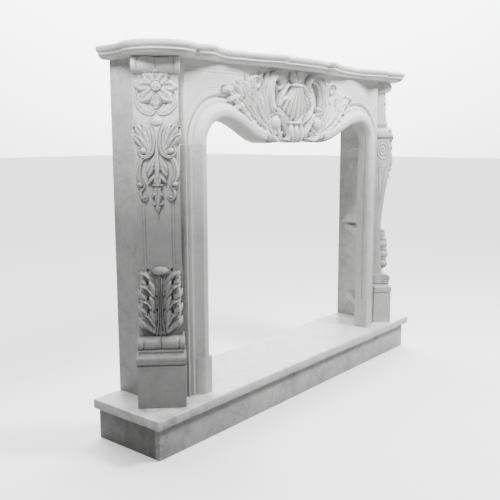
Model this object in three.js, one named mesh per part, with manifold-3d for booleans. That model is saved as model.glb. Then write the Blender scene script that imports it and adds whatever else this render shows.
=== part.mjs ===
// Carved white marble fireplace mantel on a raised hearth.
// Millimetres, Z up, front of the mantel towards -Y, wall behind it at +Y.
// X = 0 is the centre line, Z = 0 the floor and Y = 0 the front edge of the hearth slab.
import * as THREE from 'three';
import { mergeVertices } from 'three/addons/utils/BufferGeometryUtils.js';
import Module from 'manifold-3d';

const wasm = await Module();
wasm.setup();

// Hearth: a thin slab on three upright riser boards.
const joint = 0.3;
const slabLength = 1600;
const slabDepth = 300;
const slabThickness = 30;
const slabArris = 4;
const riserHeight = 107;
const riserSetback = 18.5;
const riserOverhang = 21;
const boardThickness = 20;

// Surround: what stands on the slab, placed from the slab's ends and front edge.
const mantelHeight = 1070;
const jambHeight = 811;
const jambWidth = 87;
const jambInset = 208;
const faceSetback = 72;
const frameThickness = 41;
const panelInset = 110;
const panelThickness = 30;

// Opening: round shoulders, then a falling curve to three shallow scallops. The scallops, the
// cartouche and the shelf's middle share a middle that is a little left of the centre line.
const middleX = -28;
const shoulderRadius = 74;
const shoulderFlat = 6;
const scallopHalf = 170;
const scallopPitch = 150;
const scallopRise = 13;

// Moulding round the opening, measured from its edge.
const rollRadius = 25;
const crestWidth = 10;
const slopeWidth = 22;
const crestProud = 22;
const grooveStart = 67;
const grooveWidth = 16;
const grooveDepth = 8;
const quirkSetback = 7;
const quirkHalf = 3;
const quirkDepth = 5;
const footHeight = 125;
const footOuter = 58;
const footChamfer = 20;

// Canted legs at the two front corners, placed by the middle of the plinth's front face.
const legInset = 86.5;
const legSetback = 71.3;
const legWidth = 150;
const legDepth = 107;
const legGap = 12;
const plinthHeight = 135;

// Shelf: thickness, and the bowed ends over the legs.
const shelfThickness = 39;
const bowRadius = 115;
const bowInset = 145;
const bowSetback = 117;
const shelfMiddleHalf = 150;

// Cartouche on the frieze.
const cartoucheWidth = 768;

// Rough offcuts behind the legs.
const braceThickness = 32;
const braceClearance = 5;

const white = '#e4e4e1';
const whiteWarm = '#dfdfdb';
const grey = '#b9b9b8';

// Places that follow from the sizes.
const slabTop = riserHeight + slabThickness;
const shelfBottom = slabTop + mantelHeight;
const riserHalf = slabLength / 2 - riserOverhang;
const legX = slabLength / 2 - legInset;
const panelOuter = slabLength / 2 - panelInset;
const jambEnd = slabLength / 2 - jambInset;
const openingHalf = jambEnd - jambWidth;
const frameBack = faceSetback + frameThickness;
const crestY = faceSetback - crestProud;
const quirkY = faceSetback + quirkSetback;
const slopeEnd = rollRadius + crestWidth + slopeWidth;
const jointZ = slabTop + jambHeight;
const scallopZ = jointZ + 2;

// Solids: closed meshes, outward faces.
function closedGeometry(points, triangles) {
  let volume = 0;
  for (const [a, b, c] of triangles) {
    volume += points[a].dot(new THREE.Vector3().crossVectors(points[b], points[c]));
  }
  const index = triangles.flatMap(([a, b, c]) => (volume < 0 ? [a, c, b] : [a, b, c]));
  const geometry = new THREE.BufferGeometry().setFromPoints(points);
  geometry.setIndex(index);
  return geometry;
}

function solid(geometry) {
  const bare = geometry.clone();
  bare.deleteAttribute('normal');
  bare.deleteAttribute('uv');
  const merged = mergeVertices(bare, 1e-4);
  return new wasm.Manifold(new wasm.Mesh({
    numProp: 3,
    vertProperties: new Float32Array(merged.attributes.position.array),
    triVerts: new Uint32Array(merged.index.array),
  }));
}

function geometryOf(body) {
  const { vertProperties, triVerts } = body.getMesh();
  const geometry = new THREE.BufferGeometry();
  geometry.setAttribute('position', new THREE.BufferAttribute(new Float32Array(vertProperties), 3));
  geometry.setIndex(Array.from(triVerts));
  return geometry;
}

// A loft through rings of equal length, closed by a fan at each end.
function loft(rings) {
  const size = rings[0].length;
  const triangles = [];
  for (let r = 0; r + 1 < rings.length; r += 1) {
    for (let i = 0; i < size; i += 1) {
      const a = r * size + i;
      const b = r * size + ((i + 1) % size);
      triangles.push([a, b, b + size], [a, b + size, a + size]);
    }
  }
  const last = (rings.length - 1) * size;
  for (let i = 1; i + 1 < size; i += 1) {
    triangles.push([0, i + 1, i], [last, last + i, last + i + 1]);
  }
  return closedGeometry(rings.flat(), triangles);
}

// A flat outline given as [x, y] pairs, extruded upwards.
function upright(outline, bottom, top) {
  const shape = new THREE.Shape(outline.map(([x, y]) => new THREE.Vector2(x, y)));
  const geometry = new THREE.ExtrudeGeometry(shape, { depth: top - bottom, bevelEnabled: false });
  return geometry.translate(0, 0, bottom);
}

// An outline given as [x, z] pairs, extruded backwards from a front plane.
function standing(outline, front, back) {
  const shape = new THREE.Shape(outline.map(([x, z]) => new THREE.Vector2(x, z)));
  const geometry = new THREE.ExtrudeGeometry(shape, { depth: back - front, bevelEnabled: false });
  return geometry.rotateX(Math.PI / 2).translate(0, back, 0);
}

// A slab with a moulded edge: the plan runs from the wall round to the wall,
// the edge profile gives [outward, height] and each ring is a mitred offset.
function mouldedSlab(plan, profile, bottom) {
  const count = plan.length;
  const normals = plan.map((p, i) => {
    if (i === 0) return [-1, 0];
    if (i === count - 1) return [1, 0];
    const [ax, ay] = plan[i - 1];
    const [bx, by] = plan[i + 1];
    const one = Math.hypot(p[0] - ax, p[1] - ay);
    const two = Math.hypot(bx - p[0], by - p[1]);
    const n1 = [(p[1] - ay) / one, -(p[0] - ax) / one];
    const n2 = [(by - p[1]) / two, -(bx - p[0]) / two];
    const scale = 1 + n1[0] * n2[0] + n1[1] * n2[1];
    return [(n1[0] + n2[0]) / scale, (n1[1] + n2[1]) / scale];
  });
  const points = [];
  for (const [out, height] of profile) {
    plan.forEach(([x, y], i) => {
      const [nx, ny] = normals[i];
      points.push(new THREE.Vector3(x + nx * out, y + ny * out, bottom + height));
    });
  }
  const triangles = [];
  for (let r = 0; r + 1 < profile.length; r += 1) {
    for (let i = 0; i < count; i += 1) {
      const a = r * count + i;
      const b = r * count + ((i + 1) % count);
      triangles.push([a, b, b + count], [a, b + count, a + count]);
    }
  }
  const cap = (start, flip) => {
    const ring = points.slice(start, start + count).map((p) => new THREE.Vector2(p.x, p.y));
    for (const [a, b, c] of THREE.ShapeUtils.triangulateShape(ring, [])) {
      triangles.push(flip ? [start + c, start + b, start + a] : [start + a, start + b, start + c]);
    }
  };
  cap(0, true);
  cap((profile.length - 1) * count, false);
  return closedGeometry(points, triangles);
}

// Carving: a tapering leaf or ribbon drawn along knots [across, up, half width, height].
// The place function lays it on the curved ground it is carved from. Leaves have
// rounded shoulders; the thin scroll bands are plain ridges. Both start 9 below the ground.
const leafSection = (height) => [
  [-1, -9],
  [-0.8, height * 0.62],
  [0, height],
  [0.8, height * 0.62],
  [1, -9],
];
const bandSection = (height) => [[-1.3, -9], [0, height], [1.3, -9]];

function ribbon([knots, steps, sectionAt = leafSection], place) {
  const path = new THREE.CatmullRomCurve3(knots.map(([u, v]) => new THREE.Vector3(u, v, 0)));
  const size = new THREE.CatmullRomCurve3(knots.map(([, , w, h]) => new THREE.Vector3(w, h, 0)));
  const rings = [];
  for (let i = 0; i <= steps; i += 1) {
    const t = i / steps;
    const p = path.getPoint(t);
    const d = path.getTangent(t);
    const { x: width, y: height } = size.getPoint(t);
    const across = { x: d.y * width, y: -d.x * width };
    rings.push(sectionAt(height).map(([side, h]) => place(p.x + across.x * side, p.y + across.y * side, h)));
  }
  return solid(loft(rings));
}

// A low oval boss standing out of the ground.
function boss([across, up, halfWidth, halfHeight, height], place) {
  const sphere = new THREE.SphereGeometry(1, 8, 4);
  const position = sphere.attributes.position;
  for (let i = 0; i < position.count; i += 1) {
    const point = place(
      across + position.getX(i) * halfWidth,
      up + position.getY(i) * halfHeight,
      position.getZ(i) * height,
    );
    position.setXYZ(i, point.x, point.y, point.z);
  }
  sphere.deleteAttribute('normal');
  sphere.deleteAttribute('uv');
  const merged = mergeVertices(sphere, 1e-3);
  const points = [];
  for (let i = 0; i < merged.attributes.position.count; i += 1) {
    points.push(new THREE.Vector3().fromBufferAttribute(merged.attributes.position, i));
  }
  const triangles = [];
  for (let i = 0; i < merged.index.count; i += 3) {
    const [a, b, c] = [0, 1, 2].map((k) => merged.index.getX(i + k));
    if (a !== b && b !== c && c !== a) triangles.push([a, b, c]);
  }
  return solid(closedGeometry(points, triangles));
}

function joined(parts) {
  return parts.reduce((whole, part) => whole.add(part));
}

function mirroredGeometry(geometry) {
  const copy = geometry.clone().scale(-1, 1, 1);
  const index = copy.index.array;
  for (let i = 0; i < index.length; i += 3) {
    [index[i + 1], index[i + 2]] = [index[i + 2], index[i + 1]];
  }
  return copy;
}

// Hearth riser and slab.
const riserFront = new THREE.BoxGeometry(2 * riserHalf, boardThickness, riserHeight - joint);
const riserSideLength = slabDepth - riserSetback - boardThickness - joint;
const riserSide = new THREE.BoxGeometry(boardThickness, riserSideLength, riserHeight - joint);
const slabPlan = [
  [-slabLength / 2, slabDepth],
  [-slabLength / 2, 0],
  [slabLength / 2, 0],
  [slabLength / 2, slabDepth],
];
const slabProfile = [
  [-slabArris / 2, 0],
  [0, slabArris / 2],
  [0, slabThickness - slabArris],
  [-slabArris * 0.3, slabThickness - slabArris * 0.3],
  [-slabArris, slabThickness],
];
const slab = mouldedSlab(slabPlan, slabProfile, 0);

// Side panels, mitred to seat against the back of the canted legs.
const legBack = (x) => legSetback - legX + (legDepth + joint) * Math.SQRT2 + x;
const panelPlan = [
  [-panelOuter, legBack(panelOuter)],
  [-panelOuter + panelThickness, legBack(panelOuter - panelThickness)],
  [-panelOuter + panelThickness, slabDepth],
  [-panelOuter, slabDepth],
];
const sidePanel = upright(panelPlan, 0, mantelHeight - 2 * joint);

// Jamb: plan of the mouldings from the opening's edge outwards, and a plain foot block.
function rollPoints(steps) {
  return Array.from({ length: steps + 1 }, (_, i) => {
    const angle = (i / steps) * Math.PI / 2;
    return [rollRadius * (1 - Math.cos(angle)), crestY + rollRadius * (1 - Math.sin(angle))];
  });
}

const jambSection = [
  [0, frameBack],
  [0, quirkY + quirkHalf],
  [quirkDepth, quirkY],
  [0, quirkY - quirkHalf],
  ...rollPoints(4),
  [rollRadius + crestWidth, crestY],
  [slopeEnd, faceSetback],
  [grooveStart, faceSetback],
  [grooveStart + grooveWidth * 0.25, faceSetback + grooveDepth * 0.7],
  [grooveStart + grooveWidth * 0.5, faceSetback + grooveDepth],
  [grooveStart + grooveWidth * 0.75, faceSetback + grooveDepth * 0.7],
  [grooveStart + grooveWidth, faceSetback],
  [jambWidth, faceSetback],
  [jambWidth, frameBack],
];
const footSection = [
  [0, frameBack - 1],
  [0, crestY + 1],
  [footOuter - footChamfer, crestY + 1],
  [footOuter, faceSetback],
  [footOuter, frameBack - 1],
];
const toPlan = ([n, y]) => [-n, y];
const jamb = geometryOf(
  solid(upright(jambSection.map(toPlan), 0, jambHeight - 2 * joint))
    .add(solid(upright(footSection.map(toPlan), 0, footHeight))),
);

// Frieze: the opening curve for one side (-1 left, 1 right), from the springing to the scallops.
function openingSideCurve(side) {
  const points = [[openingHalf, jointZ + joint]];
  const shoulderX = openingHalf - shoulderRadius;
  for (let i = 0; i <= 6; i += 1) {
    const angle = (i / 6) * Math.PI / 2;
    points.push([
      shoulderX + shoulderRadius * Math.cos(angle),
      scallopZ + shoulderRadius * Math.sin(angle),
    ]);
  }
  const fallStart = shoulderX - shoulderFlat;
  const fallEnd = scallopHalf + side * middleX;
  for (let i = 1; i <= 8; i += 1) {
    const t = i / 8;
    points.push([
      fallStart + (fallEnd - fallStart) * t,
      scallopZ + shoulderRadius * (1 + Math.cos(Math.PI * t)) / 2,
    ]);
  }
  return points.map(([x, z]) => [side * x, z]);
}

function scallopCurve() {
  const points = [];
  for (let i = 0; i <= 16; i += 1) {
    const x = -scallopPitch + (2 * scallopPitch * i) / 16;
    const rise = scallopRise * (1 - Math.abs(Math.cos((Math.PI * x) / scallopPitch)));
    points.push([middleX + x, scallopZ + rise]);
  }
  return points;
}

const friezeOutline = [
  [-jambEnd, jointZ + joint],
  ...openingSideCurve(-1),
  ...scallopCurve(),
  ...openingSideCurve(1).reverse(),
  [jambEnd, jointZ + joint],
  [jambEnd, shelfBottom - joint],
  [-jambEnd, shelfBottom - joint],
];

// A strip of constant section swept along both sides of the opening curve.
function alongOpening(section, overrun) {
  return joined([-1, 1].map((side) => {
    const curve = openingSideCurve(side);
    curve[0][1] -= overrun;
    const rings = curve.map(([x, z], i) => {
      const [ax, az] = curve[Math.max(i - 1, 0)];
      const [bx, bz] = curve[Math.min(i + 1, curve.length - 1)];
      const length = Math.hypot(bx - ax, bz - az);
      const nx = i === 0 ? side : (side * (bz - az)) / length;
      const nz = i === 0 ? 0 : (-side * (bx - ax)) / length;
      return section.map(([n, y]) => new THREE.Vector3(x + nx * n, y, z + nz * n));
    });
    return solid(loft(rings));
  }));
}

const ridgeRoot = frameBack - frameThickness * 0.3;
const ridge = alongOpening([
  [1, ridgeRoot],
  ...rollPoints(3),
  [rollRadius + crestWidth, crestY],
  [slopeEnd, faceSetback],
  [slopeEnd, ridgeRoot],
], 0);
const quirk = alongOpening([
  [-quirkHalf, quirkY - quirkHalf * 1.6],
  [quirkDepth, quirkY],
  [-quirkHalf, quirkY + quirkHalf * 1.6],
], 5);
const groove = alongOpening([
  [grooveStart - 2, faceSetback - 3],
  [grooveStart + grooveWidth / 2, faceSetback + grooveDepth],
  [grooveStart + grooveWidth + 2, faceSetback - 3],
], 5);

// Cartouche: shell and drop in the middle, scrolls and leaf sprays either side. It is drawn
// 768 wide and 257 tall, with heights from the foot of the scallops, and brought to size.
const cartoucheAcross = cartoucheWidth / 768;
const cartoucheUp = (shelfBottom - scallopZ) / 257;
const onFrieze = (u, v, h) => new THREE.Vector3(
  middleX + u * cartoucheAcross,
  faceSetback - h * cartoucheUp,
  scallopZ + v * cartoucheUp,
);

function sprayStrokes(side) {
  const at = (knots) => knots.map(([u, v, w, h]) => [side * u, v, w, h]);
  return [
    [at([[164, 32, 14, 16], [236, 65, 20, 20], [300, 119, 18, 20], [346, 156, 11, 15], [384, 177, 4, 9]]), 5],
    [at([[167, 46, 13, 18], [217, 85, 19, 22], [279, 149, 15, 19], [306, 190, 5, 11]]), 4],
    [at([[161, 56, 12, 18], [201, 106, 18, 22], [247, 161, 15, 20], [272, 215, 6, 13]]), 4],
    [at([[161, 73, 11, 17], [187, 120, 16, 20], [207, 173, 14, 18], [200, 226, 8, 13]]), 4],
    [at([[205, 40, 10, 14], [248, 52, 10, 12], [278, 78, 4, 7]]), 2],
    [at([[262, 78, 10, 14], [308, 104, 10, 12], [340, 134, 4, 7]]), 2],
    [at([[84, 210, 8, 20], [97, 233, 9, 22], [143, 223, 10, 22], [170, 174, 10, 22],
      [170, 131, 10, 22], [150, 107, 9, 20]]), 7, bandSection],
    [at([[103, 91, 8, 18], [85, 67, 9, 20], [61, 43, 9, 20], [54, 25, 9, 19],
      [75, 11, 9, 18], [100, 22, 8, 17], [88, 36, 6, 16]]), 8, bandSection],
  ];
}

function shellStrokes() {
  const strokes = [];
  for (const k of [-2, -1, 0, 1, 2]) {
    const out = Math.abs(k);
    strokes.push([[
      [k * 8, 197, 6, 22],
      [k * 25, 155 - out * 4, 13, 25],
      [k * 33, 110 + out * 4, 12, 22],
      [k * 29, 80 + out * 10, 7, 14],
    ], 4]);
  }
  for (const k of [-1, 0, 1]) {
    strokes.push([[[k * 28, 64, 10, 17], [k * 30, 38, 13, 22], [k * 27, 14, 10, 17]], 2]);
  }
  for (const k of [-1, 1]) {
    strokes.push([[[k * 10, 212, 8, 18], [k * 17, 230, 12, 20], [k * 16, 248, 8, 14]], 2]);
  }
  return strokes;
}

const cartoucheBosses = [
  [0, 205, 32, 9, 24],
  [-127, 70, 25, 26, 26],
  [127, 70, 25, 26, 26],
  [-230, 201, 20, 17, 18],
  [230, 201, 20, 17, 18],
];
const cartouche = [
  ...[...sprayStrokes(-1), ...sprayStrokes(1), ...shellStrokes()].map((stroke) => ribbon(stroke, onFrieze)),
  ...cartoucheBosses.map((size) => boss(size, onFrieze)),
];
const aboveFrieze = solid(new THREE.BoxGeometry(slabLength, slabDepth, slabThickness * 2)
  .translate(0, slabDepth / 2, shelfBottom - joint + slabThickness));
const frieze = geometryOf(
  solid(standing(friezeOutline, faceSetback, frameBack))
    .subtract(groove)
    .add(ridge)
    .subtract(quirk)
    .add(joined(cartouche))
    .subtract(aboveFrieze),
);

// Leg: drawn 150 wide, 107 deep and from 135 to 1070 over the hearth, and brought to size at
// the end. Its profile stations are [height, projection, half width], where the projection is
// measured from the front of the plinth block.
const legStations = [
  [135.3, -8, 72],
  [140, 0, 76],
  [148, 1.5, 77],
  [158, 1.5, 77],
  [167, -4, 74],
  [173, -20, 70],
  [182, -38, 68.5],
  [225, -42, 68],
  [355, -53, 69.5],
  [420, -54, 69],
  [480, -50, 67],
  [545, -43, 66.5],
  [608, -33.5, 66],
  [665, -25, 65.5],
  [725, -18, 65],
  [775, -17.5, 65.5],
  [831, -24, 67.5],
  [835, -24.5, 71],
  [849, -27, 73],
  [863, -29.5, 71],
  [867, -30.5, 68.5],
  [890, -36, 67.5],
  [925, -46.5, 67],
  [960, -53, 66.4],
  [1005, -54, 66.4],
  [1022, -47, 66.5],
  [1069.7, -47, 66.5],
];

function legGround(height) {
  const last = legStations.length - 1;
  let i = 0;
  while (i < last - 1 && legStations[i + 1][0] < height) i += 1;
  const [z0, s0] = legStations[i];
  const [z1, s1] = legStations[i + 1];
  const t = Math.min(Math.max((height - z0) / (z1 - z0), 0), 1);
  return s0 + (s1 - s0) * t;
}

const onLeg = (u, v, h) => new THREE.Vector3(u, -legGround(v) - h, v);

// A roll across the leg with a groove round its middle.
function crossRoll(radius, half, projection, height) {
  const profile = [
    [0, -half],
    [radius, -half],
    [radius, -3],
    [radius - 3, 0],
    [radius, 3],
    [radius, half],
    [0, half],
  ];
  const geometry = new THREE.LatheGeometry(profile.map(([r, a]) => new THREE.Vector2(r, a)), 10);
  geometry.rotateZ(-Math.PI / 2).translate(0, -projection, height);
  return solid(geometry);
}

function legStrokes(side) {
  const at = (knots) => knots.map(([u, v, w, h]) => [side * u, v, w, h]);
  return [
    [at([[9, 236, 9, 12], [32, 250, 15, 24], [50, 272, 12, 30], [61, 292, 4, 25]]), 3],
    [at([[9, 258, 10, 16], [30, 282, 16, 29], [48, 306, 13, 37], [62, 322, 4, 28]]), 3],
    [at([[9, 300, 10, 16], [30, 330, 16, 28], [48, 356, 13, 33], [62, 370, 4, 23]]), 3],
    [at([[9, 340, 10, 14], [26, 376, 16, 20], [42, 404, 13, 23], [55, 419, 4, 17]]), 3],
    [
      at([[22, 868, 4, 8], [9, 822, 4, 13], [15, 790, 4, 13], [32, 778, 4, 12], [50, 797, 4, 10]]),
      6, bandSection,
    ],
    [at([[26, 788, 10, 8], [38, 812, 14, 12], [56, 832, 12, 14], [76, 842, 4, 11]]), 3],
    [at([[22, 796, 10, 8], [36, 835, 13, 12], [58, 866, 7, 11]]), 2],
    [
      at([[33, 776, 6, 8], [50, 758, 7, 11], [54, 730, 8, 12], [45, 703, 7, 11], [41, 690, 4, 9]]),
      5, bandSection,
    ],
    [at([[44, 684, 3, 6], [48, 668, 4, 8], [43, 656, 4, 7]]), 2, bandSection],
    [at([[6, 774, 5, 8], [17, 752, 10, 12], [25, 730, 8, 12], [27, 718, 3, 8]]), 3],
    [at([[4, 720, 5, 9], [15, 708, 7, 12], [23, 699, 3, 9]]), 2, bandSection],
  ];
}

const rosetteCentre = [0, 982];

function rosetteStrokes() {
  const strokes = [];
  for (let k = 0; k < 8; k += 1) {
    const angle = (k * Math.PI) / 4;
    const reach = 57 - 8 * Math.sin(angle);
    const to = (r) => [Math.cos(angle) * r, rosetteCentre[1] + Math.sin(angle) * r];
    strokes.push([[[...to(8), 7, 24], [...to(reach * 0.6), 17, 19], [...to(reach), 6, 9]], 2]);
  }
  return strokes;
}

const legCentre = [
  [[[0, 226, 15, 12], [0, 262, 8, 13], [0, 330, 6, 11], [0, 402, 4, 8]], 3],
  [[[0, 872, 12, 5], [0, 830, 5, 6], [0, 785, 7, 9], [0, 745, 9, 14], [0, 705, 15, 13]], 4],
  [[[0, 700, 14, 12], [0, 676, 12, 11], [0, 660, 15, 12], [0, 640, 12, 11], [0, 606, 2, 5]], 4],
];

const legBosses = [
  [...rosetteCentre, 15, 15, 32],
  [0, 880, 17, 14, 13],
  [0, 425, 27, 16, 18],
  ...[-1, 1].flatMap((side) => [
    [side * 41, 795, 11, 11, 15],
    [side * 50, 695, 9, 9, 13],
    [side * 38, 657, 7, 7, 10],
  ]),
];

const legCarving = [
  ...[...legStrokes(-1), ...legStrokes(1), ...rosetteStrokes(), ...legCentre]
    .map((stroke) => ribbon(stroke, onLeg)),
  ...legBosses.map((size) => boss(size, onLeg)),
];

const legBody = solid(loft(legStations.map(([v, s, w]) => [
  new THREE.Vector3(-w, 107, v),
  new THREE.Vector3(-w, -s, v),
  new THREE.Vector3(w, -s, v),
  new THREE.Vector3(w, 107, v),
])));
const legDrawn = geometryOf(legBody
  .add(crossRoll(24, 70.6, -46.5, 1045))
  .add(crossRoll(22, 72.5, -29, 200))
  .add(joined(legCarving)));
legDrawn.translate(0, 0, -135);
legDrawn.scale(legWidth / 150, legDepth / 107, (mantelHeight - plinthHeight) / (1070 - 135));

// The seat cut from the inner back corner of a leg, clear of the jamb's end, in the leg's own
// frame, which is turned by 45 degrees.
const legTurn = Math.PI / 4;
const seat = solid(new THREE.BoxGeometry(legDepth * 4, legDepth * 4, mantelHeight * 2)
  .translate(legX - jambEnd - legGap + legDepth * 2, faceSetback - joint - legSetback + legDepth * 2, 0)
  .rotateZ(legTurn));
const aboveLeg = solid(new THREE.BoxGeometry(legWidth * 2, legDepth * 4, slabThickness * 2)
  .translate(0, 0, mantelHeight - plinthHeight - joint + slabThickness));
const leftLeg = geometryOf(solid(legDrawn).subtract(seat).subtract(aboveLeg));
const leftPlinth = geometryOf(
  solid(new THREE.BoxGeometry(legWidth, legDepth, plinthHeight - 2 * joint)
    .translate(0, legDepth / 2, plinthHeight / 2)).subtract(seat),
);

// Shelf: plan of the groove line in its edge, wall to wall. The wave between the bowed end and
// the middle is drawn as [share of the way, distance from the front edge of the hearth].
const bowX = slabLength / 2 - bowInset;
const bowUnit = bowRadius / 115;
const shelfWave = [
  [0, 27],
  [0.078, 8],
  [0.156, 7],
  [0.288, 33],
  [0.437, 50],
  [0.58, 40],
  [0.71, 34],
  [0.859, 16],
  [1, -7.5],
];

function shelfSidePlan(side) {
  const points = [[bowX + 80 * bowUnit, slabDepth]];
  for (const [x, y] of [[82, 128], [91, 79], [92, 65]]) {
    points.push([bowX + x * bowUnit, bowSetback + y * bowUnit]);
  }
  for (let i = 0; i <= 8; i += 1) {
    const angle = THREE.MathUtils.degToRad(28 - (146 * i) / 8);
    points.push([bowX + bowRadius * Math.cos(angle), bowSetback + bowRadius * Math.sin(angle)]);
  }
  const middle = side * middleX;
  const waveStart = bowX - 67 * bowUnit;
  const waveEnd = middle + shelfMiddleHalf;
  const wave = new THREE.CatmullRomCurve3(
    shelfWave.map(([t, y]) => new THREE.Vector3(waveStart + (waveEnd - waveStart) * t, y * bowUnit, 0)),
  );
  for (const p of wave.getPoints(11)) points.push([p.x, p.y]);
  points.push([middle + shelfMiddleHalf * 0.87, 9 * bowUnit], [middle + shelfMiddleHalf * 0.43, 3 * bowUnit]);
  points.push([middle, 0.6 * bowUnit]);
  return points.map(([x, y]) => [side * x, y]);
}

const shelfPlan = [...shelfSidePlan(-1), ...shelfSidePlan(1).reverse().slice(1)];
const shelfProfile = [
  [-17, 0],
  [-8, 3.5],
  [-4, 10],
  [1, 11.5],
  [1, 15.5],
  [-2, 17.5],
  [5, 22],
  [8, 30],
  [6, 36],
  [1, 39],
].map(([outward, height]) => [(outward * shelfThickness) / 39, (height * shelfThickness) / 39]);
const shelf = mouldedSlab(shelfPlan, shelfProfile, 0);

// Rough offcuts glued to the side panels behind each leg. Their outlines are [distance behind
// the leg, height over the hearth], drawn for a mantel 1070 tall.
const braceOutlines = {
  top: [[0, 743], [66, 743], [63, 774], [40, 783], [0, 783]],
  middle: [[0, 446], [90, 446], [86, 456], [0, 553]],
  strut: [[0, 372], [69, 413], [75, 431], [40, 431], [0, 408]],
  foot: [[0, 49], [63, 90], [51, 117], [0, 85]],
};
const braceX = panelOuter - panelThickness - joint;
const braceY = legBack(braceX) + braceClearance;

function brace(outline) {
  const scale = mantelHeight / 1070;
  const shape = new THREE.Shape(outline.map(([y, z]) => new THREE.Vector2(y * scale, z * scale)));
  const geometry = new THREE.ExtrudeGeometry(shape, { depth: braceThickness, bevelEnabled: false });
  return geometry.rotateX(Math.PI / 2).rotateZ(Math.PI / 2);
}

// The pieces in their places.
const mantel = new THREE.Group();

function piece(name, geometry, color, roughness, [x, y, z], turn = 0) {
  const bare = geometry.index ? geometry : mergeVertices(geometry);
  const mesh = new THREE.Mesh(bare, new THREE.MeshStandardMaterial({ color, roughness, metalness: 0 }));
  mesh.name = name;
  mesh.position.set(x, y, z);
  mesh.rotation.z = turn;
  mantel.add(mesh);
}

// A left piece and its mirror image on the right, the places given for the left one.
function pair(name, geometry, color, roughness, [x, y, z], turn = 0) {
  const bare = geometry.index ? geometry : mergeVertices(geometry);
  piece(`left_${name}`, bare, color, roughness, [x, y, z], turn);
  piece(`right_${name}`, mirroredGeometry(bare), color, roughness, [-x, y, z], -turn);
}

const riserZ = (riserHeight - joint) / 2;
const onSlab = slabTop + joint;
piece('hearth_riser_front', riserFront, white, 0.3, [0, riserSetback + boardThickness / 2, riserZ]);
pair('hearth_riser', riserSide, grey, 0.35, [
  -riserHalf + boardThickness / 2,
  slabDepth - riserSideLength / 2,
  riserZ,
]);
piece('hearth_slab', slab, white, 0.25, [0, 0, riserHeight]);
pair('side_panel', sidePanel, white, 0.3, [0, 0, onSlab]);
pair('leg_plinth', leftPlinth, whiteWarm, 0.35, [-legX, legSetback, slabTop], -legTurn);
pair('console_leg', leftLeg, whiteWarm, 0.35, [-legX, legSetback, slabTop + plinthHeight], -legTurn);
pair('jamb', jamb, white, 0.3, [-openingHalf, 0, onSlab]);
piece('frieze', frieze, white, 0.3, [0, 0, 0]);
piece('mantel_shelf', shelf, white, 0.25, [0, 0, shelfBottom]);
for (const [name, outline] of Object.entries(braceOutlines)) {
  pair(`brace_${name}`, brace(outline), grey, 0.7, [-braceX, braceY, slabTop]);
}

// The part's origin is the middle of its footprint on the floor.
mantel.updateMatrixWorld(true);
const extent = new THREE.Box3().setFromObject(mantel, true);
mantel.position.y = -(extent.min.y + extent.max.y) / 2;

const group = new THREE.Group();
group.name = 'fireplace_mantel';
group.add(mantel);

export default group;
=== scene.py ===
"""A white marble fireplace mantel on a raised hearth, seen from its left front corner.

The pieces are drawn in millimetres with X = 0 on the centre line, Y = 0 at the front of the
hearth slab and Z = 0 on the floor, and turned into metres in the part's frame as they are made.
"""

import math

import bpy
import numpy as np
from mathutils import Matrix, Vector


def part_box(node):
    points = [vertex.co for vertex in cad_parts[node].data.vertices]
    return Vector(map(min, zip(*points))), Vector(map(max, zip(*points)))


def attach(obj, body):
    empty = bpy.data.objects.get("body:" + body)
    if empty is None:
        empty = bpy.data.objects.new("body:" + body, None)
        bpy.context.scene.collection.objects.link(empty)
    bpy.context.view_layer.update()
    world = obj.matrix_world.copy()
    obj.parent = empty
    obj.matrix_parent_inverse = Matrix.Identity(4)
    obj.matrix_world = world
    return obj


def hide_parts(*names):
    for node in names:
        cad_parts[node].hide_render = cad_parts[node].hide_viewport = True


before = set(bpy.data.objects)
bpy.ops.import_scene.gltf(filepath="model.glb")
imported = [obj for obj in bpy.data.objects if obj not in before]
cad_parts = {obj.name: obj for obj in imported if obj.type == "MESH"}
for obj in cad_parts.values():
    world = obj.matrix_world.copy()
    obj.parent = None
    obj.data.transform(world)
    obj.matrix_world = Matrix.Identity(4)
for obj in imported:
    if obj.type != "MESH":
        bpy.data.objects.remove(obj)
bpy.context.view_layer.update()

# Hearth riser. Three 20 mm marble boards set on edge on the floor, the end boards butted behind
# the front one, and open towards the wall. Their faces are honed and their edges rubbed smooth.
wall = 300
joint = 0.3
riser_half, riser_face, riser_height = 779, 18.5, 107
riser_board = 20
riser_ease = 1.2
wall_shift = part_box("hearth_slab")[1].y - wall / 1000


def part_frame(points):
    """Drawing millimetres to metres in the part's frame, whose wall plane is the back of the slab."""
    points = np.array(points, float) / 1000.0
    points[..., 1] += wall_shift
    return points


def mesh_object(name, points, faces, material, sharp=38.0):
    """A mesh in the part's frame, its faces turned outwards and edges over the angle kept crisp.

    Only its four-sided faces are shaded smooth, so that the ends stay flat.
    """
    volume = 0.0
    for face in faces:
        corner = points[np.asarray(face)]
        a = corner[..., 0, :]
        for k in range(1, corner.shape[-2] - 1):
            volume += float(np.sum(a * np.cross(corner[..., k, :], corner[..., k + 1, :])))
    listed = [row for face in faces for row in np.atleast_2d(np.asarray(face)).tolist()]
    if volume < 0:
        listed = [row[::-1] for row in listed]
    mesh = bpy.data.meshes.new(name)
    mesh.from_pydata(part_frame(points).tolist(), [], listed)
    mesh.polygons.foreach_set("use_smooth", [len(row) == 4 for row in listed])
    mesh.set_sharp_from_angle(angle=math.radians(sharp))
    mesh.materials.append(material)
    piece = bpy.data.objects.new(name, mesh)
    bpy.context.collection.objects.link(piece)
    return piece


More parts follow.
